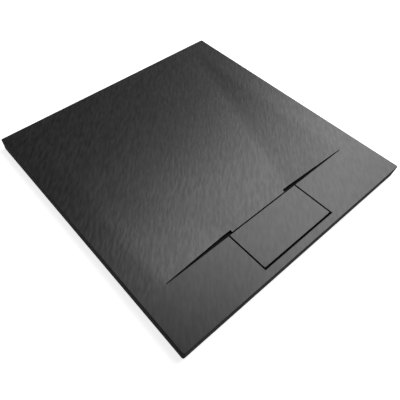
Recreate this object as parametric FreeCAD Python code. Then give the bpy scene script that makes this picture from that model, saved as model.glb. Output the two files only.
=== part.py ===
import FreeCAD, Part
import math
import os

# Square slate-finish shower tray with a lift-off drain cover.
# Millimetres. +Z up, +X to the right, +Y from the drain side to the back.
# The origin is the centre of the underside, on the floor.

# The tray's outside
tray_width = 900.0
tray_depth = 900.0
tray_height = 40.0
corner_radius = 6.0
edge_radius = 2.0

# The level rims and strip, and the floor that falls from them to the drain
side_rim = 66.0
back_rim = 62.0
strip_depth = 160.0
floor_drop = 20.0
crease_spread = 300.0
roll_radius = 400.0
roll_start = math.radians(0.3)

# How far a shape that cuts reaches past the faces that it cuts
headroom = 20.0
cut_margin = 1.0

# The tapered slots behind the strip, at their wide end, and how they end before the basin's side
slot_width = 18.0
slot_foot = 16.5
slot_end = 18.0
slot_tip_scale = 0.15
arris = 0.8

# The tongue of floor behind the cover, and the sump below it
tongue_width = 226.0
tongue_gap = 10.0
sump_drop = 27.0
sump_corner = 10.0

# The drain cover, the recess that it lies in, and its pads
cover_length = 277.5
cover_depth = 129.5
cover_thickness = 11.5
side_gap = 3.8
front_gap = 5.0
cover_edge_bevel = 0.8
cover_corner_radius = 2.0
cover_skin = 5.0
cover_rim = 20.0
cover_rib = 4.0
cover_columns = 5
cover_rows = 2
side_ledge = 19.3
front_ledge = 15.5
ledge_tail = 4.5
pad_radius = 6.0
pad_thickness = 1.5
pad_taper = 0.5
pad_inset = 24.0

# The moulding's walls and the ribs under it
skin = 5.0
skirt = 6.0
rib = 4.0
rib_pitch = 120.0
clear_radius = 63.0
seat_thickness = 4.5

# The waste fitting
waste_hole_radius = 45.0
waste_offset = 77.0
neck_clearance = 1.0
neck_wall = 6.0
neck_lift = 0.4
flange_radius = 57.0
flange_thickness = 1.8
flange_taper = 3.0
flange_recess_depth = 1.5
flange_recess_gap = 1.5
gasket_thickness = 1.2
gasket_overlap = 11.0
slip_thickness = 0.6
lock_thickness = 4.6
lock_width = 12.0
lock_notches = 12
lock_notch_width = 7.0
lock_notch_depth = 3.0
thread_clearance = 0.2

# The strainer
sieve_seat_depth = 1.3
sieve_seat_width = 3.5
sieve_clearance = 0.4
sieve_thickness = 0.8
sieve_rise = 3.0
sieve_rim_width = 4.0
sieve_slot_width = 3.0
sieve_slot_rows = ((10.5, 8.0), (21.5, 10.0))
sieve_slot_counts = (9, 18)
knob_radius = 8.0
knob_height = 8.0
knob_foot_radius = 5.0
knob_head = 2.5
screw_radius = 2.0
screw_clearance = 0.1
screw_head_radius = 3.6
screw_head_height = 1.8
screw_length = 6.0

# Places that follow from the sizes above
top = tray_height
rear_of_strip = strip_depth - tray_depth / 2
basin_side = tray_width / 2 - side_rim
basin_back = tray_depth / 2 - back_rim
recess_half = cover_length / 2 + side_gap
recess_front = rear_of_strip - cover_depth - front_gap
slot_tip = basin_side - slot_end
tail_end = rear_of_strip + ledge_tail
ledge_top = top - cover_thickness - pad_thickness
sump_half = recess_half - side_ledge
sump_front = recess_front + front_ledge
tongue_front = rear_of_strip + tongue_gap
sump_floor = top - sump_drop
waste_y = recess_front + waste_offset
side_fall = floor_drop / (basin_side - crease_spread / 2)
back_fall = floor_drop / (basin_back - tongue_front)
flange_seat = sump_floor - flange_recess_depth
seat_under = flange_seat - seat_thickness
neck_radius = waste_hole_radius - neck_clearance
bore_radius = neck_radius - neck_wall
flange_bottom = flange_seat + gasket_thickness
flange_top = flange_bottom + flange_thickness
sieve_seat = flange_top - sieve_seat_depth
slip_top = seat_under - gasket_thickness
lock_top = slip_top - slip_thickness
sieve_crown = sieve_seat + sieve_thickness + sieve_rise


def at(x, y, z):
    return FreeCAD.Vector(x, y, z)


def block(x0, x1, y0, y1, z0, z1):
    """A plain box between two corners."""
    return Part.makeBox(x1 - x0, y1 - y0, z1 - z0, at(x0, y0, z0))


def rounded_block(x0, x1, y0, y1, z0, z1, radius):
    """A box whose four upright edges are rounded."""
    body = block(x0, x1, y0, y1, z0, z1)
    uprights = [edge for edge in body.Edges if abs(edge.tangentAt(edge.FirstParameter).z) > 0.99]
    return body.makeFillet(radius, uprights)


def disc(radius, z0, z1, x=0.0, y=0.0):
    return Part.makeCylinder(radius, z1 - z0, at(x, y, z0))


def ring(outer, inner, z0, z1, x=0.0, y=0.0):
    return disc(outer, z0, z1, x, y).cut(disc(inner, z0 - cut_margin, z1 + cut_margin, x, y))


def turned(points, x=0.0, y=0.0):
    """A solid of revolution about an upright axis, from its (radius, height) outline."""
    outline = Part.makePolygon([at(r, 0, z) for r, z in points + points[:1]])
    solid = Part.Face(outline).revolve(at(0, 0, 0), at(0, 0, 1), 360)
    solid.translate(at(x, y, 0))
    return solid


def mirrored(shape):
    """The same shape on the other side of the tray's middle."""
    return shape.mirror(at(0, 0, 0), at(1, 0, 0))


def write(name, shape):
    shape.exportStep(os.path.join("parts", name + ".step"))
    print(name, "solids", len(shape.Solids), "valid", shape.isValid(), "volume", round(shape.Volume))


# ---------------------------------------------------------------- tray


def roll_centre(edge):
    """Centre of the round that takes the floor off the rim at edge, seen along the rim."""
    return edge + roll_radius * math.sin(roll_start), top - roll_radius * math.cos(roll_start)


def roll_point(edge, angle):
    """The point of that round where its slope is angle, as (distance from the middle, height)."""
    out, height = roll_centre(edge)
    return out - roll_radius * math.sin(angle), height + roll_radius * math.cos(angle)


def fall_outline(edge, fall, reach, lowered):
    """The space above one fall, in the XZ plane: it rolls off the rim at edge and falls evenly to reach."""
    slope = math.atan(fall)
    start = at(edge, 0, top - lowered)
    middle_x, middle_z = roll_point(edge, (roll_start + slope) / 2)
    foot_x, foot_z = roll_point(edge, slope)
    foot = at(foot_x, 0, foot_z - lowered)
    end = at(reach, 0, foot.z - (foot_x - reach) * fall)
    lines = [
        Part.Arc(start, at(middle_x, 0, middle_z - lowered), foot),
        Part.LineSegment(foot, end),
        Part.LineSegment(end, at(reach, 0, top + headroom)),
        Part.LineSegment(at(reach, 0, top + headroom), at(edge, 0, top + headroom)),
        Part.LineSegment(at(edge, 0, top + headroom), start),
    ]
    return Part.Face(Part.Wire([line.toShape() for line in lines]))


def valley_fill():
    """The sliver of material that rounds the valley between the right fall and the back fall."""
    side_foot = roll_point(basin_side, math.atan(side_fall))
    back_foot = roll_point(basin_back, math.atan(back_fall))
    side_normal = at(-side_fall, 0, 1).normalize()
    back_normal = at(0, -back_fall, 1).normalize()
    upward = (side_normal + back_normal).normalize()
    half_turn = side_normal.getAngle(back_normal) / 2
    outlines = []
    for height in (top - floor_drop - arris, top + arris):
        x = side_foot[0] - (side_foot[1] - height) / side_fall
        y = back_foot[0] - (back_foot[1] - height) / back_fall
        crease = at(x, y, height)
        centre = crease + upward * (roll_radius / math.cos(half_turn))
        below = crease - upward * arris
        on_side = centre - side_normal * roll_radius
        on_back = centre - back_normal * roll_radius
        lines = [
            Part.Arc(on_side, centre - upward * roll_radius, on_back),
            Part.LineSegment(on_back, below),
            Part.LineSegment(below, on_side),
        ]
        outlines.append(Part.Wire([line.toShape() for line in lines]))
    return Part.makeLoft(outlines, True, True)


def basin(grow):
    """The space above the falling floor; grow is the wall that is left round it."""
    front = rear_of_strip - grow
    half = fall_outline(basin_side, side_fall, 0.0, grow).extrude(at(0, tray_depth, 0))
    half.translate(at(0, front, 0))
    back = fall_outline(basin_back, back_fall, front, grow).extrude(at(0, -tray_width, 0))
    back.rotate(at(0, 0, 0), at(0, 0, 1), 90)
    back.translate(at(-tray_width / 2, 0, 0))
    space = half.fuse(mirrored(half)).common(back)
    if grow:
        return space
    fill = valley_fill()
    return space.cut(fill).cut(mirrored(fill))


def slot_section(x, scale, grow):
    """The slot's outline across its length: upright at the strip, leaning at the floor's edge."""
    strip_edge = [(-grow, 0.0)] if grow else [(-arris * scale, 0.0), (0.0, -arris * scale)]
    outline = strip_edge + [
        (-grow, -sump_drop * scale - grow),
        (slot_foot * scale + grow, -sump_drop * scale - grow),
        (slot_width * scale + grow, -floor_drop * scale - grow),
        (slot_width * scale + grow, 0.0),
    ]
    points = [at(x, rear_of_strip + y, top + z) for y, z in outline]
    return Part.makePolygon(points + points[:1])


def slot(grow):
    """One tapered slot, from its blunt tip near the basin's side to the cover's corner."""
    tip = slot_section(slot_tip + grow, slot_tip_scale, grow)
    mouth = slot_section(recess_half - grow, 1.0, grow)
    return Part.makeLoft([tip, mouth], True, True)


def gutter(grow):
    """The slot's run behind the cover's corner, round the ledge's tail and into the sump."""
    outline = [
        (ledge_tail - grow, 0.0),
        (ledge_tail - grow, -sump_drop - grow),
        (slot_foot + grow, -sump_drop - grow),
        (slot_width + grow, -floor_drop - grow),
        (slot_width + grow, 0.0),
    ]
    start = tongue_width / 2 - grow
    points = [at(start, rear_of_strip + y, top + z) for y, z in outline]
    face = Part.Face(Part.makePolygon(points + points[:1]))
    return face.extrude(at(recess_half + grow - start, 0, 0))


def drain_recess(grow):
    """The cover's recess down to its ledges, and the sump below."""
    recess = block(-recess_half - grow, recess_half + grow, recess_front - grow, tail_end + grow,
                   ledge_top - grow, top)
    sump = rounded_block(-sump_half - grow, sump_half + grow, sump_front - grow, tongue_front + grow,
                         sump_floor - grow, top, sump_corner)
    rear = block(-sump_half - grow, sump_half + grow, waste_y, tongue_front + grow, sump_floor - grow, top)
    return recess.multiFuse([sump, rear])


def recess_arris():
    """The small bevel round the recess's three upper edges."""
    wires = []
    for spread, z in ((0.0, top - arris), (arris * 2, top + arris)):
        x = recess_half + spread
        y0 = recess_front - spread
        corners = [at(-x, y0, z), at(x, y0, z), at(x, rear_of_strip, z), at(-x, rear_of_strip, z)]
        wires.append(Part.makePolygon(corners + corners[:1]))
    return Part.makeLoft(wires, True, True)


def hollow(grow):
    """Everything that is open from above, with a wall of grow added round it."""
    right_slot = slot(grow)
    right_gutter = gutter(grow)
    pieces = [right_slot, mirrored(right_slot), right_gutter, mirrored(right_gutter), drain_recess(grow)]
    return basin(grow).multiFuse(pieces)


def ribs():
    """The grid of ribs under the tray, with a clear round bay for the waste fitting."""
    plates = []
    for length, across, along_x in ((tray_width, tray_depth, True), (tray_depth, tray_width, False)):
        bays = math.ceil(across / rib_pitch)
        for i in range(1, bays):
            middle = across * (i / bays - 0.5)
            if along_x:
                plates.append(block(-length / 2, length / 2, middle - rib / 2, middle + rib / 2, 0, top))
            else:
                plates.append(block(middle - rib / 2, middle + rib / 2, -length / 2, length / 2, 0, top))
    grid = plates[0].multiFuse(plates[1:])
    bay = disc(clear_radius + rib, -cut_margin, top + cut_margin, 0, waste_y)
    collar = ring(clear_radius + rib, clear_radius, 0, top, 0, waste_y)
    seat = disc(clear_radius, seat_under, top, 0, waste_y)
    return grid.cut(bay).multiFuse([collar, seat])


def tray_shell():
    """The pressed tray: a skin of even thickness with a skirt and ribs."""
    half_x = tray_width / 2
    half_y = tray_depth / 2
    body = rounded_block(-half_x, half_x, -half_y, half_y, 0, top, corner_radius)
    rim_edges = [edge for edge in body.Edges if edge.BoundBox.ZMin > top - 0.01]
    body = body.makeFillet(edge_radius, rim_edges)
    core = rounded_block(-half_x + skirt, half_x - skirt, -half_y + skirt, half_y - skirt, -cut_margin,
                         top - skin, corner_radius)
    pockets = core.cut(hollow(skin)).cut(ribs())
    body = body.cut(hollow(0.0)).cut(recess_arris()).cut(pockets)
    recess_radius = flange_radius + flange_recess_gap
    body = body.cut(disc(recess_radius, flange_seat, sump_floor + cut_margin, 0, waste_y))
    return body.cut(disc(waste_hole_radius, -cut_margin, top, 0, waste_y))


# ---------------------------------------------------------------- cover


def drain_cover():
    """The flush cover: a skin with a broad rim, and ribs between its pockets."""
    half = cover_length / 2
    front = rear_of_strip - cover_depth
    under = ledge_top + pad_thickness
    body = rounded_block(-half, half, front, rear_of_strip, under, top, cover_corner_radius)
    upper = [edge for edge in body.Edges if edge.BoundBox.ZMin > top - 0.01]
    body = body.makeChamfer(cover_edge_bevel, upper)
    cell_x = (cover_length - 2 * cover_rim - (cover_columns - 1) * cover_rib) / cover_columns
    cell_y = (cover_depth - 2 * cover_rim - (cover_rows - 1) * cover_rib) / cover_rows
    for i in range(cover_columns):
        for j in range(cover_rows):
            x = -half + cover_rim + i * (cell_x + cover_rib)
            y = front + cover_rim + j * (cell_y + cover_rib)
            body = body.cut(block(x, x + cell_x, y, y + cell_y, under - cut_margin, top - cover_skin))
    return body


def cover_pads():
    """Four rubber pads, one near each end of the side ledges."""
    pads = []
    low = ledge_top
    high = ledge_top + pad_thickness
    x = recess_half - side_ledge / 2
    outline = [(0, low), (pad_radius, low), (pad_radius - pad_taper, high), (0, high)]
    for y in (recess_front + pad_inset, rear_of_strip - pad_inset):
        for side in (-x, x):
            pads.append(turned(outline, side, y))
    return Part.makeCompound(pads)


# ---------------------------------------------------------------- waste fitting


def waste_flange():
    """The flange and its neck, turned as one piece, with a seat for the sieve."""
    seat_radius = bore_radius + sieve_seat_width
    outline = [
        (bore_radius, neck_lift),
        (neck_radius, neck_lift),
        (neck_radius, flange_bottom),
        (flange_radius, flange_bottom),
        (flange_radius - flange_taper, flange_top),
        (seat_radius, flange_top),
        (seat_radius, sieve_seat),
        (bore_radius, sieve_seat),
    ]
    return turned(outline, 0, waste_y)


def clamped_ring(z0, z1):
    """A flat ring round the neck, as wide as the gaskets."""
    inner = neck_radius + thread_clearance
    return ring(inner + gasket_overlap, inner, z0, z1, 0, waste_y)


def flange_gasket():
    inner = waste_hole_radius
    return ring(flange_radius - gasket_thickness, inner, flange_seat, flange_bottom, 0, waste_y)


def lock_ring():
    """The castellated ring that is screwed on the neck from below."""
    inner = neck_radius + thread_clearance
    outer = inner + lock_width
    low = lock_top - lock_thickness
    body = ring(outer, inner, low, lock_top, 0, waste_y)
    for i in range(lock_notches):
        half = lock_notch_width / 2
        notch = block(outer - lock_notch_depth, outer + cut_margin, -half, half, low - cut_margin,
                      lock_top + cut_margin)
        notch.rotate(at(0, 0, 0), at(0, 0, 1), 360.0 * i / lock_notches)
        notch.translate(at(0, waste_y, 0))
        body = body.cut(notch)
    return body


# ---------------------------------------------------------------- strainer


def strainer_sieve():
    """A pressed plate: a flat rim in the flange's seat, a shoulder and a raised deck with radial slots."""
    rim = bore_radius + sieve_seat_width - sieve_clearance
    foot = rim - sieve_rim_width
    deck = foot - sieve_rise
    low = sieve_seat
    crown = low + sieve_rise
    thick = sieve_thickness
    outline = [(0, crown), (deck, crown), (foot, low), (rim, low), (rim, low + thick), (foot, low + thick),
               (deck, crown + thick), (0, crown + thick)]
    body = turned(outline)
    holes = [disc(screw_radius + screw_clearance, low, crown + headroom)]
    for (inner, length), count in zip(sieve_slot_rows, sieve_slot_counts):
        for i in range(count):
            half = sieve_slot_width / 2
            hole = block(inner, inner + length, -half, half, low, crown + headroom)
            hole.rotate(at(0, 0, 0), at(0, 0, 1), 360.0 * i / count)
            holes.append(hole)
    body = body.cut(Part.makeCompound(holes))
    body.translate(at(0, waste_y, 0))
    return body


def strainer_knob():
    """A turned knob that widens upwards, to be gripped under its head."""
    base = sieve_crown
    high = base + knob_height
    outline = [
        (0, base),
        (knob_foot_radius, base),
        (knob_radius, high - knob_head),
        (knob_radius, high),
        (0, high),
    ]
    bore = disc(screw_radius + screw_clearance, base - cut_margin, sieve_crown + screw_length, 0, waste_y)
    return turned(outline, 0, waste_y).cut(bore)


def knob_screw():
    """The screw that holds the knob, driven up through the crown of the sieve."""
    under = sieve_crown - sieve_thickness
    head = disc(screw_head_radius, under - screw_head_height, under, 0, waste_y)
    shank = disc(screw_radius, under, sieve_crown + screw_length - screw_clearance, 0, waste_y)
    return head.fuse(shank)


os.makedirs("parts", exist_ok=True)
write("tray_shell", tray_shell())
write("drain_cover", drain_cover())
write("cover_pads", cover_pads())
write("waste_flange", waste_flange())
write("flange_gasket", flange_gasket())
write("lower_gasket", clamped_ring(slip_top, seat_under))
write("slip_ring", clamped_ring(lock_top, slip_top))
write("lock_ring", lock_ring())
write("strainer_sieve", strainer_sieve())
write("strainer_knob", strainer_knob())
write("knob_screw", knob_screw())
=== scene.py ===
import bmesh
import bpy
import math
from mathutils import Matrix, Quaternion, Vector


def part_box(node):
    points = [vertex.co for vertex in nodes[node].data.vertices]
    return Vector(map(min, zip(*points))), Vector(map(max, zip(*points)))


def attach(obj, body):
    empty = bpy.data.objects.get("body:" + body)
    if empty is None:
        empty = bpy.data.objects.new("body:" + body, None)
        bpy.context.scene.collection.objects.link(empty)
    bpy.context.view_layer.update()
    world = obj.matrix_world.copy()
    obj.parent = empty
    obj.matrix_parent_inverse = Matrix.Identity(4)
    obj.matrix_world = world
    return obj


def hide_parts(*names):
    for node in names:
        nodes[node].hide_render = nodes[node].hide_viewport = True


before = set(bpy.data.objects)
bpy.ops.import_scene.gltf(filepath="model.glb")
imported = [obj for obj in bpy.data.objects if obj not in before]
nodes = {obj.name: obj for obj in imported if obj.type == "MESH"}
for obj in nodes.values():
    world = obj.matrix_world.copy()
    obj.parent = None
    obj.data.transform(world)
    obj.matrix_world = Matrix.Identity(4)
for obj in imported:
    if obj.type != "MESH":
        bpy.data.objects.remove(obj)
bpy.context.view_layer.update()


# ---------------------------------------------------------------- tray shell
# The tray is pressed in one piece from sheet-moulding compound, a glass-filled polyester coloured dark grey
# through its mass. The mould's upper half has a slate grain cut in it, which covers the floor, the rims and
# the strip. The sides, the slots, the sump and the underside leave the mould plain and dead matt, and their
# darker tint there is painted shade.

def linear(hex_colour):
    """An sRGB hex colour as the linear colour that a shader socket takes."""
    channels = [int(hex_colour[i:i + 2], 16) / 255 for i in (1, 3, 5)]
    return [c / 12.92 if c <= 0.04045 else ((c + 0.055) / 1.055) ** 2.4 for c in channels] + [1.0]


def add_node(tree, kind, settings, sockets):
    """Adds one node: settings are its options, sockets its inputs as values or as outputs to link."""
    node = tree.nodes.new(kind)
    for name, value in settings.items():
        setattr(node, name, value)
    for key, value in sockets.items():
        if isinstance(value, bpy.types.NodeSocket):
            tree.links.new(value, node.inputs[key])
        else:
            node.inputs[key].default_value = value
    return node


def new_material(name):
    """An empty material: itself, its node tree, the coordinates on its surface and its output."""
    material = bpy.data.materials.new(name)
    material.use_nodes = True
    tree = material.node_tree
    tree.nodes.clear()
    place = tree.nodes.new("ShaderNodeTexCoord").outputs
    return material, tree, place, tree.nodes.new("ShaderNodeOutputMaterial")


def dress(piece, material):
    """Gives a piece its material."""
    piece.data.materials.clear()
    piece.data.materials.append(material)


MM = 0.001

# the slate grain: how it is turned, the size of its strokes and clouds, and the strip's share of its depth
GRAIN_TURN = math.radians(-45)
GRAIN_LENGTH = 30 * MM
GRAIN_WIDTH = 9.5 * MM
GRAIN_DEPTH = 0.5 * MM
CLOUD_LENGTH = 110 * MM
CLOUD_WIDTH = 55 * MM
STRIP_RELIEF = 0.6

# the middle stretch of a noise's levels, which is spread over the whole tint
NOISE_LOW = 0.3
NOISE_HIGH = 0.7

# the grit of the plain faces, and how far a face looks up where it still has the darker tint of painted shade
# and where it is all grained
GRIT_SIZE = 2.5 * MM
PLAIN_SHADED_TILT = 0.6
GRAINED_TILT = 0.9

# the plan of the recess, the tongue and the slots, by which the shader tells the hollows from the floor and
# paints shade into the hollows
TRAY_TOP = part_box("tray_shell")[1].z
STRIP_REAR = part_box("drain_cover")[1].y
COVER_GAP = 3.8 * MM
RECESS_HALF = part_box("drain_cover")[1].x + COVER_GAP
TONGUE_GAP = 10 * MM
TONGUE_FRONT = STRIP_REAR + TONGUE_GAP
TONGUE_HALF = 113 * MM
SLOT_TIP = 366 * MM
SLOT_WIDE = 18 * MM
SLOT_NARROW = 2.7 * MM
EDGE_MARGIN = 0.1 * MM
HOLLOW_DEPTH = 1.0 * MM


def shaded_slot_and_recess(tree, place):
    """1 in the slots, the recess and the sump, where the floor leaves its own plane, and 0 elsewhere. Where
    it is 1, the compound gets its darker tint as painted shade.
    """
    axes = add_node(tree, "ShaderNodeSeparateXYZ", {}, {"Vector": place}).outputs
    side = add_node(tree, "ShaderNodeMath", {"operation": "ABSOLUTE"}, {0: axes["X"]}).outputs[0]
    slot_wall = add_node(tree, "ShaderNodeMapRange", {}, {
        "Value": side, "From Min": RECESS_HALF, "From Max": SLOT_TIP,
        "To Min": STRIP_REAR + SLOT_WIDE, "To Max": STRIP_REAR + SLOT_NARROW}).outputs[0]
    beside_tongue = add_node(tree, "ShaderNodeMath", {"operation": "GREATER_THAN"}, {
        0: side, 1: TONGUE_HALF})
    before_tongue = add_node(tree, "ShaderNodeMath", {"operation": "LESS_THAN"}, {
        0: axes["Y"], 1: TONGUE_FRONT - EDGE_MARGIN})
    inside = add_node(tree, "ShaderNodeMath", {"operation": "MAXIMUM"}, {
        0: beside_tongue.outputs[0], 1: before_tongue.outputs[0]})
    below_top = TRAY_TOP - HOLLOW_DEPTH
    for coordinate, limit in ((axes["Y"], slot_wall), (side, SLOT_TIP), (axes["Z"], below_top)):
        within = add_node(tree, "ShaderNodeMath", {"operation": "LESS_THAN"}, {0: coordinate, 1: limit})
        inside = add_node(tree, "ShaderNodeMath", {"operation": "MULTIPLY"}, {
            0: inside.outputs[0], 1: within.outputs[0]})
    return inside.outputs[0]


def slate_grain_compound(name, shift, shade_hollows):
    """Slate-grained moulding compound: short soft strokes across the tray's diagonal, shallower on the strip
    and the cover than on the floor, with faint clouds. The grain breaks up a broad satin sheen. Faces that
    don't look up, and the slots, the recess and the sump where these are masked, have no grain and no sheen,
    and a darker tint that is painted shade."""
    material, tree, place, output = new_material(name)
    turned_place = add_node(tree, "ShaderNodeMapping", {}, {
        "Vector": place["Object"], "Location": (shift, shift, 0), "Rotation": (0, 0, GRAIN_TURN)})
    along = add_node(tree, "ShaderNodeMapping", {}, {
        "Vector": turned_place.outputs[0], "Scale": (1 / GRAIN_LENGTH, 1 / GRAIN_WIDTH, 1 / GRAIN_WIDTH)})
    strokes = add_node(tree, "ShaderNodeTexNoise", {}, {
        "Vector": along.outputs[0], "Scale": 1.0, "Detail": 1.5, "Roughness": 0.5})
    spread = add_node(tree, "ShaderNodeMapping", {}, {
        "Vector": turned_place.outputs[0], "Scale": (1 / CLOUD_LENGTH, 1 / CLOUD_WIDTH, 1 / CLOUD_WIDTH)})
    clouds = add_node(tree, "ShaderNodeTexNoise", {}, {
        "Vector": spread.outputs[0], "Scale": 1.0, "Detail": 2.0, "Roughness": 0.6, "Distortion": 0.5})
    axes = add_node(tree, "ShaderNodeSeparateXYZ", {}, {"Vector": place["Object"]})
    relief = add_node(tree, "ShaderNodeMapRange", {}, {
        "Value": axes.outputs["Y"], "From Min": STRIP_REAR, "From Max": TONGUE_FRONT,
        "To Min": STRIP_RELIEF})
    bump = add_node(tree, "ShaderNodeBump", {}, {
        "Strength": relief.outputs[0], "Distance": GRAIN_DEPTH, "Height": strokes.outputs["Fac"]})
    stroke_level = add_node(tree, "ShaderNodeMapRange", {}, {
        "Value": strokes.outputs["Fac"], "From Min": NOISE_LOW, "From Max": NOISE_HIGH})
    stroke_level = add_node(tree, "ShaderNodeMix", {"data_type": "FLOAT"}, {
        0: relief.outputs[0], 2: 0.5, 3: stroke_level.outputs[0]})
    cloud_level = add_node(tree, "ShaderNodeMapRange", {}, {
        "Value": clouds.outputs["Fac"], "From Min": NOISE_LOW, "From Max": NOISE_HIGH})
    stroke_tint = add_node(tree, "ShaderNodeMix", {"data_type": "RGBA"}, {
        0: stroke_level.outputs[0], 6: linear("#1A1A1A"), 7: linear("#343434")})
    tint = add_node(tree, "ShaderNodeMix", {"data_type": "RGBA", "blend_type": "MULTIPLY"}, {
        0: cloud_level.outputs[0], 6: stroke_tint.outputs[2], 7: linear("#E8E8E8")})
    polish = add_node(tree, "ShaderNodeMapRange", {}, {
        "Value": stroke_level.outputs[0], "To Min": 0.425, "To Max": 0.39})
    grained = add_node(tree, "ShaderNodeBsdfPrincipled", {}, {
        "Base Color": tint.outputs[2], "Roughness": polish.outputs[0], "IOR": 1.5, "Normal": bump.outputs[0]})
    grit = add_node(tree, "ShaderNodeTexNoise", {}, {
        "Vector": place["Object"], "Scale": 1 / GRIT_SIZE, "Detail": 3.0, "Roughness": 0.6})
    # the plain faces' tint is darker than the grained one: painted shade on the sides and the underside, and
    # in the slots, the recess and the sump
    plain_shaded_tint = add_node(tree, "ShaderNodeMix", {"data_type": "RGBA"}, {
        0: grit.outputs["Fac"], 6: linear("#0F0F10"), 7: linear("#1B1B1C")})
    plain_shaded = add_node(tree, "ShaderNodeBsdfPrincipled", {}, {
        "Base Color": plain_shaded_tint.outputs[2], "Roughness": 0.9, "Specular IOR Level": 0.12, "IOR": 1.5})
    facing = add_node(tree, "ShaderNodeSeparateXYZ", {}, {"Vector": place["Normal"]})
    mask = add_node(tree, "ShaderNodeMapRange", {}, {
        "Value": facing.outputs["Z"], "From Min": PLAIN_SHADED_TILT, "From Max": GRAINED_TILT})
    # in the slots, the recess and the sump the compound takes the darker plain tint as painted shade
    if shade_hollows:
        outside_shaded_hollows = add_node(tree, "ShaderNodeMath", {"operation": "SUBTRACT"}, {
            0: 1.0, 1: shaded_slot_and_recess(tree, place["Object"])})
        mask = add_node(tree, "ShaderNodeMath", {"operation": "MULTIPLY"}, {
            0: mask.outputs[0], 1: outside_shaded_hollows.outputs[0]})
    both = add_node(tree, "ShaderNodeMixShader", {}, {
        0: mask.outputs[0], 1: plain_shaded.outputs[0], 2: grained.outputs[0]})
    tree.links.new(both.outputs[0], output.inputs["Surface"])
    return material


dress(nodes["tray_shell"], slate_grain_compound("slate_grain_compound", 0.0, True))


# ---------------------------------------------------------------- drain cover
# The cover is moulded from the same compound in a mould with the same grain. It lies loose on its pads, flush
# with the strip, and is lifted out to clean the strainer. Its grain doesn't run on from the tray's.

COVER_GRAIN_SHIFT = 350 * MM
cover_compound = slate_grain_compound("slate_grain_compound_cover", COVER_GRAIN_SHIFT, False)
dress(nodes["drain_cover"], cover_compound)


# ---------------------------------------------------------------- cover pads
# Four soft pads of moulded black EPDM rubber, glued to the ledges. The cover lies on them without a rattle,
# and they hold it level with the strip.

BLOOM_SIZE = 3.0 * MM
RUBBER_RELIEF = 0.05 * MM


def moulded_rubber(name):
    """Black EPDM rubber: no sheen, with a faint grey bloom in patches about 3 mm across."""
    material, tree, place, output = new_material(name)
    bloom = add_node(tree, "ShaderNodeTexNoise", {}, {
        "Vector": place["Object"], "Scale": 1 / BLOOM_SIZE, "Detail": 4.0, "Roughness": 0.6})
    tint = add_node(tree, "ShaderNodeMix", {"data_type": "RGBA"}, {
        0: bloom.outputs["Fac"], 6: linear("#111112"), 7: linear("#242425")})
    dull = add_node(tree, "ShaderNodeMapRange", {}, {
        "Value": bloom.outputs["Fac"], "To Min": 0.62, "To Max": 0.85})
    bump = add_node(tree, "ShaderNodeBump", {}, {
        "Strength": 0.6, "Distance": RUBBER_RELIEF, "Height": bloom.outputs["Fac"]})
    shader = add_node(tree, "ShaderNodeBsdfPrincipled", {}, {
        "Base Color": tint.outputs[2], "Roughness": dull.outputs[0], "IOR": 1.52, "Normal": bump.outputs[0]})
    tree.links.new(shader.outputs[0], output.inputs["Surface"])
    return material


epdm_rubber = moulded_rubber("epdm_rubber")
dress(nodes["cover_pads"], epdm_rubber)


# ---------------------------------------------------------------- waste flange
# The flange and its neck are turned from one piece of stainless steel. It drops through the 90 mm hole in the
# sump's floor, and its neck takes the trap's spigot from below. The outer edge is rounded over, so that no
# hair catches on it.

flange_low, flange_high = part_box("waste_flange")
WASTE_AXIS = (flange_low + flange_high) / 2
MERGE_DISTANCE = 0.001 * MM
RING_SPACING = 0.8 * MM
STEEL_RELIEF = 0.03 * MM


def about_axis(radius, angle, height):
    """The place at a radius and a height in millimetres and at an angle about the waste's axis."""
    return Vector((WASTE_AXIS.x + radius * MM * math.cos(angle),
                   WASTE_AXIS.y + radius * MM * math.sin(angle), height * MM))


def even_turns(count):
    """The angles of one full turn in equal steps."""
    return [math.radians(i * 360 / count) for i in range(count)]


def finished(name, form):
    """The object of a built form: doubles merged, faces turned outwards and shaded smooth."""
    bmesh.ops.remove_doubles(form, verts=form.verts, dist=MERGE_DISTANCE)
    bmesh.ops.recalc_face_normals(form, faces=form.faces)
    mesh = bpy.data.meshes.new(name)
    form.to_mesh(mesh)
    form.free()
    mesh.shade_smooth()
    piece = bpy.data.objects.new(name, mesh)
    bpy.context.scene.collection.objects.link(piece)
    return piece


def turned_mesh(name, outline, angles):
    """A mesh object turned about the waste's axis, from a closed (radius, height) outline in millimetres."""
    form = bmesh.new()
    rings = [[form.verts.new(about_axis(radius, angle, height)) for radius, height in outline]
             for angle in angles]
    for ring, following in zip(rings, rings[1:] + rings[:1]):
        for here in range(len(outline)):
            there = (here + 1) % len(outline)
            on_axis = outline[here][0] == 0 and outline[there][0] == 0
            if not on_axis:
                form.faces.new((ring[here], ring[there], following[there], following[here]))
    return finished(name, form)


def break_edges(piece, width):
    """Rounds a piece's sharp edges, as a tool or a mould leaves them."""
    bevel = piece.modifiers.new("broken_edges", "BEVEL")
    bevel.width = width
    bevel.segments = 2
    bevel.limit_method = "ANGLE"
    bevel.angle_limit = math.radians(35)
    bevel.harden_normals = True


def stainless_steel(tree, output, marks, dark, light, smooth, rough):
    """Bare stainless steel: its tool marks tint it and spread its highlight from smooth to rough."""
    bump = add_node(tree, "ShaderNodeBump", {}, {
        "Strength": 0.5, "Distance": STEEL_RELIEF, "Height": marks})
    tint = add_node(tree, "ShaderNodeMix", {"data_type": "RGBA"}, {
        0: marks, 6: linear(dark), 7: linear(light)})
    polish = add_node(tree, "ShaderNodeMapRange", {}, {"Value": marks, "To Min": smooth, "To Max": rough})
    shader = add_node(tree, "ShaderNodeBsdfPrincipled", {}, {
        "Base Color": tint.outputs[2], "Metallic": 1.0, "Roughness": polish.outputs[0],
        "Normal": bump.outputs[0]})
    tree.links.new(shader.outputs[0], output.inputs["Surface"])


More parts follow.
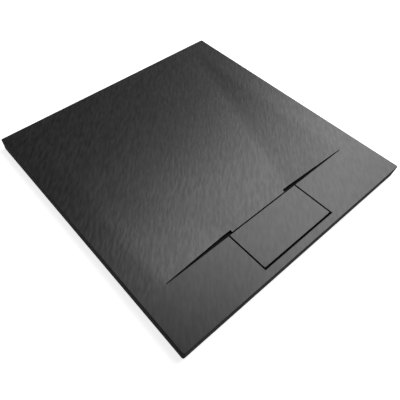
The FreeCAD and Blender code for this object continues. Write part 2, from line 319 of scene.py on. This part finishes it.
def turned_steel(name, smooth, rough):
    """Turned stainless steel: fine rings round the waste's axis, which draw the highlight out into a fan. The
    real rings are 0.1 mm apart; they are drawn 0.8 mm apart, because finer ones don't show."""
    material, tree, place, output = new_material(name)
    centred = add_node(tree, "ShaderNodeVectorMath", {"operation": "SUBTRACT"}, {
        0: place["Object"], 1: (WASTE_AXIS.x, WASTE_AXIS.y, 0)})
    in_plan = add_node(tree, "ShaderNodeVectorMath", {"operation": "MULTIPLY"}, {
        0: centred.outputs[0], 1: (1, 1, 0)})
    radius = add_node(tree, "ShaderNodeVectorMath", {"operation": "LENGTH"}, {0: in_plan.outputs[0]})
    rings = add_node(tree, "ShaderNodeTexNoise", {"noise_dimensions": "1D"}, {
        "W": radius.outputs["Value"], "Scale": 1 / RING_SPACING, "Detail": 3.0, "Roughness": 0.6})
    stainless_steel(tree, output, rings.outputs["Fac"], "#A9A8A6", "#CFCECB", smooth, rough)
    return material


FLANGE_OUTLINE = [
    (38.0, 0.9), (38.5, 0.4), (43.6, 0.4), (44.0, 0.8), (44.0, 12.7), (56.6, 12.7), (57.0, 12.95),
    (56.5, 13.5), (54.4, 14.35), (53.4, 14.5), (42.0, 14.5), (41.5, 14.0), (41.5, 13.2), (38.3, 13.2),
    (38.0, 12.9),
]
flange = turned_mesh("turned_waste_flange", FLANGE_OUTLINE, even_turns(120))
break_edges(flange, 0.15 * MM)
dress(flange, turned_steel("turned_stainless_steel", smooth=0.2, rough=0.34))
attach(flange, "tray")
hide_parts("waste_flange")


# ---------------------------------------------------------------- flange gasket
# A flat ring stamped from EPDM sheet. It lies on the sump's floor, and the flange presses on it from above,
# so that no water gets past.

dress(nodes["flange_gasket"], epdm_rubber)


# ---------------------------------------------------------------- lower gasket
# A second ring of the same EPDM sheet. The slip ring and the lock ring press it up against the underside of
# the sump's floor.

dress(nodes["lower_gasket"], epdm_rubber)


# ---------------------------------------------------------------- slip ring
# A thin washer stamped from natural polyethylene. It lies between the lower gasket and the lock ring, which
# turns on it without dragging the gasket round.

MILK_SIZE = 9.0 * MM


def natural_polyethylene(name):
    """Unpigmented polyethylene: milky, waxy and slightly see-through, so its shading is soft."""
    material, tree, place, output = new_material(name)
    milk = add_node(tree, "ShaderNodeTexNoise", {}, {
        "Vector": place["Object"], "Scale": 1 / MILK_SIZE, "Detail": 3.0, "Roughness": 0.5})
    tint = add_node(tree, "ShaderNodeMix", {"data_type": "RGBA"}, {
        0: milk.outputs["Fac"], 6: linear("#CFCDC4"), 7: linear("#E2E0D8")})
    shader = add_node(tree, "ShaderNodeBsdfPrincipled", {}, {
        "Base Color": tint.outputs[2], "Roughness": 0.42, "IOR": 1.51, "Subsurface Weight": 0.15,
        "Subsurface Radius": (0.8 * MM, 0.8 * MM, 0.7 * MM)})
    tree.links.new(shader.outputs[0], output.inputs["Surface"])
    return material


dress(nodes["slip_ring"], natural_polyethylene("natural_polyethylene"))


# ---------------------------------------------------------------- lock ring
# The ring is moulded from glass-filled polypropylene. It is screwed up the neck from below, with a hook
# spanner in two of its twelve notches, and clamps the tray between the gaskets.

RING_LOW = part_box("lock_ring")[0].z / MM
RING_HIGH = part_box("lock_ring")[1].z / MM
RING_INNER = 44.2
RING_OUTER = 56.2
NOTCH_DEPTH = 3.0
NOTCHES = 12
NOTCH_PITCH = 360 / NOTCHES
FIBRE_LENGTH = 7 * MM
FIBRE_WIDTH = 2 * MM
FIBRE_RELIEF = 0.04 * MM

# degrees from a notch's middle to the edge of its floor and to the edge of the face beside it
NOTCH_FLOOR = 3.56
NOTCH_FACE = 3.78


def from_axis(vertex):
    """Where a vertex lies in plan, counted from the waste's axis."""
    return Vector((vertex.co.x - WASTE_AXIS.x, vertex.co.y - WASTE_AXIS.y, 0))


def move_in_plan(vertex, flat):
    """Moves a vertex to another place in plan, counted from the waste's axis."""
    vertex.co.x = WASTE_AXIS.x + flat.x
    vertex.co.y = WASTE_AXIS.y + flat.y


ring_angles = [math.radians(i * NOTCH_PITCH + offset) for i in range(NOTCHES) for offset in (
    -NOTCH_FLOOR, 0.0, NOTCH_FLOOR, NOTCH_FACE, 9.0, 15.0, 21.0, NOTCH_PITCH - NOTCH_FACE)]
RING_OUTLINE = [(RING_INNER, RING_LOW), (RING_OUTER, RING_LOW), (RING_OUTER, RING_HIGH),
                (RING_INNER, RING_HIGH)]
lock_ring = turned_mesh("castellated_lock_ring", RING_OUTLINE, ring_angles)
for vertex in lock_ring.data.vertices:
    flat = from_axis(vertex)
    turn = math.degrees(math.atan2(flat.y, flat.x)) % NOTCH_PITCH
    on_outer_face = flat.length > (RING_INNER + RING_OUTER) / 2 * MM
    if on_outer_face and min(turn, NOTCH_PITCH - turn) < (NOTCH_FLOOR + NOTCH_FACE) / 2:
        move_in_plan(vertex, flat * ((RING_OUTER - NOTCH_DEPTH) / RING_OUTER))
break_edges(lock_ring, 0.3 * MM)


def glass_filled_plastic(name):
    """Glass-filled polypropylene: charcoal and half matt, with paler flow marks where fibres lie near the
    skin."""
    material, tree, place, output = new_material(name)
    stretched = add_node(tree, "ShaderNodeMapping", {}, {
        "Vector": place["Object"], "Scale": (1 / FIBRE_LENGTH, 1 / FIBRE_WIDTH, 1 / FIBRE_WIDTH)})
    fibres = add_node(tree, "ShaderNodeTexNoise", {}, {
        "Vector": stretched.outputs[0], "Scale": 1.0, "Detail": 4.0, "Roughness": 0.65, "Distortion": 0.8})
    tint = add_node(tree, "ShaderNodeMix", {"data_type": "RGBA"}, {
        0: fibres.outputs["Fac"], 6: linear("#232426"), 7: linear("#3B3C3E")})
    bump = add_node(tree, "ShaderNodeBump", {}, {
        "Strength": 0.5, "Distance": FIBRE_RELIEF, "Height": fibres.outputs["Fac"]})
    shader = add_node(tree, "ShaderNodeBsdfPrincipled", {}, {
        "Base Color": tint.outputs[2], "Roughness": 0.52, "IOR": 1.49, "Normal": bump.outputs[0]})
    tree.links.new(shader.outputs[0], output.inputs["Surface"])
    return material


dress(lock_ring, glass_filled_plastic("glass_filled_polypropylene"))
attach(lock_ring, "tray")
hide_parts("lock_ring")


# ---------------------------------------------------------------- strainer sieve
# A disc of 0.8 mm stainless sheet. Two rings of slots are punched in it, and its middle is pressed up into a
# flat deck, so that water still finds a way past the hair. Its rim lies in the flange's seat.

SHEET = 0.8
DECK_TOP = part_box("strainer_sieve")[1].z / MM
RIM_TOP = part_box("strainer_sieve")[0].z / MM + SHEET
DECK_RADIUS = 34.1
FOOT_RADIUS = 37.1
SIEVE_RADIUS = 41.1
SECTORS = 18
HALF_SECTOR = math.pi / SECTORS
SLOT_HALF = 1.5
SLOT_ROUND = 1.06
INNER_SLOT = (10.5, 18.5)
OUTER_SLOT = (21.5, 31.5)
BRIDGE_RADIUS = 20.0
LINE_LENGTH = 40 * MM
LINE_SPACING = 0.7 * MM

# radii beside the pressed slope, whose rows keep its two bends tight
DECK_EDGE = 33.0
RIM_EDGE = 38.3

# a sector has six columns of faces, and the first two lie over its slot
COLUMNS = 6
SLOT_COLUMNS = 2


def plain_row(radius, half_width=SLOT_HALF):
    """A row of the sheet: its radius, the radius of the slots' flanks there and their half width there."""
    return radius, radius, half_width


def slot_rows(start, end):
    """The rows over one ring of slots, whose ends are rounded."""
    rounding = SLOT_HALF - SLOT_ROUND
    middle = [plain_row(radius) for radius in (start + SLOT_HALF, (start + end) / 2, end - SLOT_HALF)]
    return [(start, start + rounding, SLOT_ROUND)] + middle + [(end, end - rounding, SLOT_ROUND)]


def sieve_height(radius):
    """Height of the sheet's upper face at a radius, in millimetres."""
    if radius <= DECK_RADIUS:
        return DECK_TOP
    if radius >= FOOT_RADIUS:
        return RIM_TOP
    return DECK_TOP - (DECK_TOP - RIM_TOP) * (radius - DECK_RADIUS) / (FOOT_RADIUS - DECK_RADIUS)


# out from the screw's hole: the hub, whose columns fan out to the slots' width, the slots and the rim
rows = [plain_row(2.1, 0.2), plain_row(5.5, 0.5), plain_row(8.5, 0.9)]
rows += slot_rows(*INNER_SLOT) + [plain_row(BRIDGE_RADIUS)] + slot_rows(*OUTER_SLOT)
rows += [plain_row(radius) for radius in (DECK_EDGE, DECK_RADIUS, FOOT_RADIUS, RIM_EDGE, SIEVE_RADIUS)]
form = bmesh.new()
grid = []
for radius, flank_radius, half_width in rows:
    flank = math.asin(half_width / flank_radius)
    between = (HALF_SECTOR + flank) / 2
    points = ((flank_radius, -flank), (radius, 0.0), (flank_radius, flank), (radius, between),
              (radius, HALF_SECTOR), (radius, 2 * HALF_SECTOR - between))
    grid.append([form.verts.new(about_axis(reach, sector * 2 * HALF_SECTOR + turn, sieve_height(reach)))
                 for sector in range(SECTORS) for reach, turn in points])
for lower, upper, row, next_row in zip(grid, grid[1:], rows, rows[1:]):
    middle_radius = (row[0] + next_row[0]) / 2
    in_inner = INNER_SLOT[0] < middle_radius < INNER_SLOT[1]
    in_outer = OUTER_SLOT[0] < middle_radius < OUTER_SLOT[1]
    for column in range(len(lower)):
        over_slot = column % COLUMNS < SLOT_COLUMNS
        even_sector = (column // COLUMNS) % 2 == 0
        if over_slot and (in_outer or (in_inner and even_sector)):
            continue
        following = (column + 1) % len(lower)
        form.faces.new((lower[column], lower[following], upper[following], upper[column]))
sieve = finished("slotted_sieve", form)
sheet = sieve.modifiers.new("sheet", "SOLIDIFY")
sheet.thickness = SHEET * MM
sheet.offset = -1.0
sheet.use_even_offset = True
pressed = sieve.modifiers.new("pressed_edges", "SUBSURF")
pressed.levels = 1
pressed.render_levels = 1


def brushed_steel(name):
    """Brushed stainless sheet: straight fine lines one way, so the highlight smears across them. The real
    lines are 0.1 mm apart; they are drawn 0.7 mm apart, because finer ones don't show."""
    material, tree, place, output = new_material(name)
    stretched = add_node(tree, "ShaderNodeMapping", {}, {
        "Vector": place["Object"], "Scale": (1 / LINE_LENGTH, 1 / LINE_SPACING, 1 / LINE_SPACING)})
    lines = add_node(tree, "ShaderNodeTexNoise", {}, {
        "Vector": stretched.outputs[0], "Scale": 1.0, "Detail": 3.0, "Roughness": 0.6})
    stainless_steel(tree, output, lines.outputs["Fac"], "#ADACAA", "#D2D1CE", smooth=0.24, rough=0.4)
    return material


dress(sieve, brushed_steel("brushed_stainless_sheet"))
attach(sieve, "strainer")
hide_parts("strainer_sieve")


# ---------------------------------------------------------------- strainer knob
# A small knob turned from stainless bar and polished. Its waist lets two fingers get under the head, and the
# head is slightly dished.

KNOB_OUTLINE = [
    (0.0, 17.0), (5.0, 17.0), (5.0, 17.5), (4.55, 18.1), (4.45, 18.9), (4.9, 20.0), (6.0, 21.3),
    (7.4, 22.2), (8.0, 22.7), (8.0, 24.1), (7.75, 24.65), (7.2, 24.95), (6.6, 25.0), (6.0, 24.85),
    (3.5, 24.6), (0.0, 24.5),
]
knob = turned_mesh("turned_knob", KNOB_OUTLINE, even_turns(48))
dress(knob, turned_steel("polished_stainless_bar", smooth=0.1, rough=0.16))
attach(knob, "strainer")
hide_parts("strainer_knob")


# ---------------------------------------------------------------- knob screw
# A stainless screw with a hexagon socket, turned from bar. It is driven up through the sieve from below and
# holds the knob.

SCREW_OUTLINE = [
    (0.0, 15.5), (1.1, 15.5), (1.25, 15.4), (1.25, 14.4), (2.6, 14.4), (3.3, 14.65), (3.6, 15.2),
    (3.6, 16.2), (2.0, 16.2), (2.0, 22.9), (0.0, 22.9),
]
SOCKET_RADIUS = 1.25 * MM
SOCKET_TOLERANCE = 0.01 * MM
HEXAGON_HALF = math.pi / 6
screw = turned_mesh("socket_screw", SCREW_OUTLINE, even_turns(24))
for vertex in screw.data.vertices:
    flat = from_axis(vertex)
    if abs(flat.length - SOCKET_RADIUS) < SOCKET_TOLERANCE:
        turn = math.atan2(flat.y, flat.x) % (2 * HEXAGON_HALF) - HEXAGON_HALF
        move_in_plan(vertex, flat * (math.cos(HEXAGON_HALF) / math.cos(turn)))
screw.data.set_sharp_from_angle(angle=math.radians(40))
dress(screw, turned_steel("stainless_screw_steel", smooth=0.28, rough=0.4))
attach(screw, "strainer")
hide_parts("knob_screw")


# ---------------------------------------------------------------- studio
# A white floor in a white cove, a large softbox on the right, a small one above the tray and a dim ceiling,
# as in a product studio. For the camera and in reflections the cove glows white. The floor glows a little
# less near the tray, so that the shadow stays, and not at all beneath it, so that the waste hole is dull.

# half the floor's side, and how far it lies below the tray, so that the two don't share a plane, in metres
FLOOR_HALF = 12.0
FLOOR_DROP = 0.0002

# metres from the tray's middle: the floor's glow starts over the first stretch and fills up over the second
GLOW_STARTS = (0.4, 0.44)
GLOW_FILLS = (0.7, 1.6)
GLOW_NEAR_TRAY = 0.84

# the ceiling's glow, and how steeply up one looks where the white cove ends and where the ceiling begins
CEILING_GLOW = 0.0225
COVE_END = 0.08
CEILING_START = 0.4

floor_mesh = bpy.data.meshes.new("studio_floor")
floor_mesh.from_pydata([(x * FLOOR_HALF, y * FLOOR_HALF, -FLOOR_DROP)
                        for x, y in ((-1, -1), (1, -1), (1, 1), (-1, 1))], [], [(0, 1, 2, 3)])
floor = bpy.data.objects.new("studio_floor", floor_mesh)
bpy.context.scene.collection.objects.link(floor)

material, tree, place, output = new_material("studio_white")
distance = add_node(tree, "ShaderNodeVectorMath", {"operation": "LENGTH"}, {0: place["Object"]})
glow_level = add_node(tree, "ShaderNodeMapRange", {"interpolation_type": "SMOOTHSTEP"}, {
    "Value": distance.outputs["Value"], "From Min": GLOW_FILLS[0], "From Max": GLOW_FILLS[1],
    "To Min": GLOW_NEAR_TRAY, "To Max": 1.0})
beside_tray = add_node(tree, "ShaderNodeMapRange", {}, {
    "Value": distance.outputs["Value"], "From Min": GLOW_STARTS[0], "From Max": GLOW_STARTS[1]})
rays = add_node(tree, "ShaderNodeLightPath", {}, {})
seen = add_node(tree, "ShaderNodeMath", {"operation": "MAXIMUM"}, {
    0: rays.outputs["Is Camera Ray"], 1: rays.outputs["Is Glossy Ray"]})
seen = add_node(tree, "ShaderNodeMath", {"operation": "MAXIMUM"}, {
    0: seen.outputs[0], 1: rays.outputs["Is Transmission Ray"]})
for share in (beside_tray, seen):
    glow_level = add_node(tree, "ShaderNodeMath", {"operation": "MULTIPLY"}, {
        0: glow_level.outputs[0], 1: share.outputs[0]})
paint = add_node(tree, "ShaderNodeBsdfDiffuse", {}, {"Color": linear("#E6E6E6")})
glow = add_node(tree, "ShaderNodeEmission", {}, {
    "Color": linear("#FFFFFF"), "Strength": glow_level.outputs[0]})
both = add_node(tree, "ShaderNodeAddShader", {}, {0: paint.outputs[0], 1: glow.outputs[0]})
tree.links.new(both.outputs[0], output.inputs["Surface"])
floor_mesh.materials.append(material)

world = bpy.data.worlds.new("studio_room")
bpy.context.scene.world = world
world.use_nodes = True
tree = world.node_tree
tree.nodes.clear()
output = tree.nodes.new("ShaderNodeOutputWorld")
place = add_node(tree, "ShaderNodeTexCoord", {}, {})
direction = add_node(tree, "ShaderNodeSeparateXYZ", {}, {"Vector": place.outputs["Generated"]})
cove = add_node(tree, "ShaderNodeMapRange", {"interpolation_type": "SMOOTHSTEP"}, {
    "Value": direction.outputs["Z"], "From Min": COVE_END, "From Max": CEILING_START,
    "To Min": 1.0, "To Max": CEILING_GLOW})
rays = add_node(tree, "ShaderNodeLightPath", {}, {})
mirrored = add_node(tree, "ShaderNodeMath", {"operation": "MAXIMUM"}, {
    0: rays.outputs["Is Glossy Ray"], 1: rays.outputs["Is Transmission Ray"]})
level = add_node(tree, "ShaderNodeMix", {"data_type": "FLOAT"}, {
    0: mirrored.outputs[0], 2: CEILING_GLOW, 3: cove.outputs[0]})
level = add_node(tree, "ShaderNodeMix", {"data_type": "FLOAT"}, {
    0: rays.outputs["Is Camera Ray"], 2: level.outputs[0], 3: 1.0})
room = add_node(tree, "ShaderNodeBackground", {}, {
    "Color": linear("#FFFFFF"), "Strength": level.outputs[0]})
tree.links.new(room.outputs[0], output.inputs["Surface"])


def softbox(name, azimuth, elevation, distance, sides, roll, watts):
    """A rectangular softbox that faces the tray: angles in degrees, distance and sides in metres."""
    lamp = bpy.data.lights.new(name, "AREA")
    lamp.shape = "RECTANGLE"
    lamp.size, lamp.size_y = sides
    lamp.energy = watts
    box = bpy.data.objects.new(name, lamp)
    bpy.context.scene.collection.objects.link(box)
    turn = math.radians(azimuth)
    rise = math.radians(elevation)
    toward = Vector((math.cos(turn) * math.cos(rise), math.sin(turn) * math.cos(rise), math.sin(rise)))
    box.location = toward * distance
    box.rotation_mode = "QUATERNION"
    box.rotation_quaternion = toward.to_track_quat("Z", "Y") @ Quaternion((0, 0, 1), math.radians(roll))


softbox("key_softbox", azimuth=3.8, elevation=47.9, distance=6.0, sides=(2.7, 5.0), roll=36.3, watts=246.0)
softbox("top_softbox", azimuth=35.6, elevation=69.2, distance=1.5, sides=(0.55, 1.12), roll=-43.3, watts=7.9)


# ---------------------------------------------------------------- camera
# Above the tray's near left corner, as in the photograph: place, aim and lens follow its perspective, and the
# shift follows how it is cropped. Metres, radians, millimetres and shares of the picture's width.

CAMERA_PLACE = Vector((-0.6235, -0.5761, 0.9004))
CAMERA_AIM = Vector((0.3465, 0.4020, -0.8475))
CAMERA_ROLL = 0.0137
CAMERA_LENS = 33.11
CAMERA_SENSOR = 36.0
CAMERA_SHIFT = (0.0898, 0.0820)

camera_data = bpy.data.cameras.new("camera")
camera_data.lens = CAMERA_LENS
camera_data.sensor_width = CAMERA_SENSOR
camera_data.shift_x, camera_data.shift_y = CAMERA_SHIFT
camera = bpy.data.objects.new("camera", camera_data)
bpy.context.scene.collection.objects.link(camera)
camera.location = CAMERA_PLACE
camera.rotation_mode = "QUATERNION"
camera.rotation_quaternion = CAMERA_AIM.to_track_quat("-Z", "Y") @ Quaternion((0, 0, 1), CAMERA_ROLL)
bpy.context.scene.camera = camera
bpy.context.scene.view_settings.view_transform = "Standard"
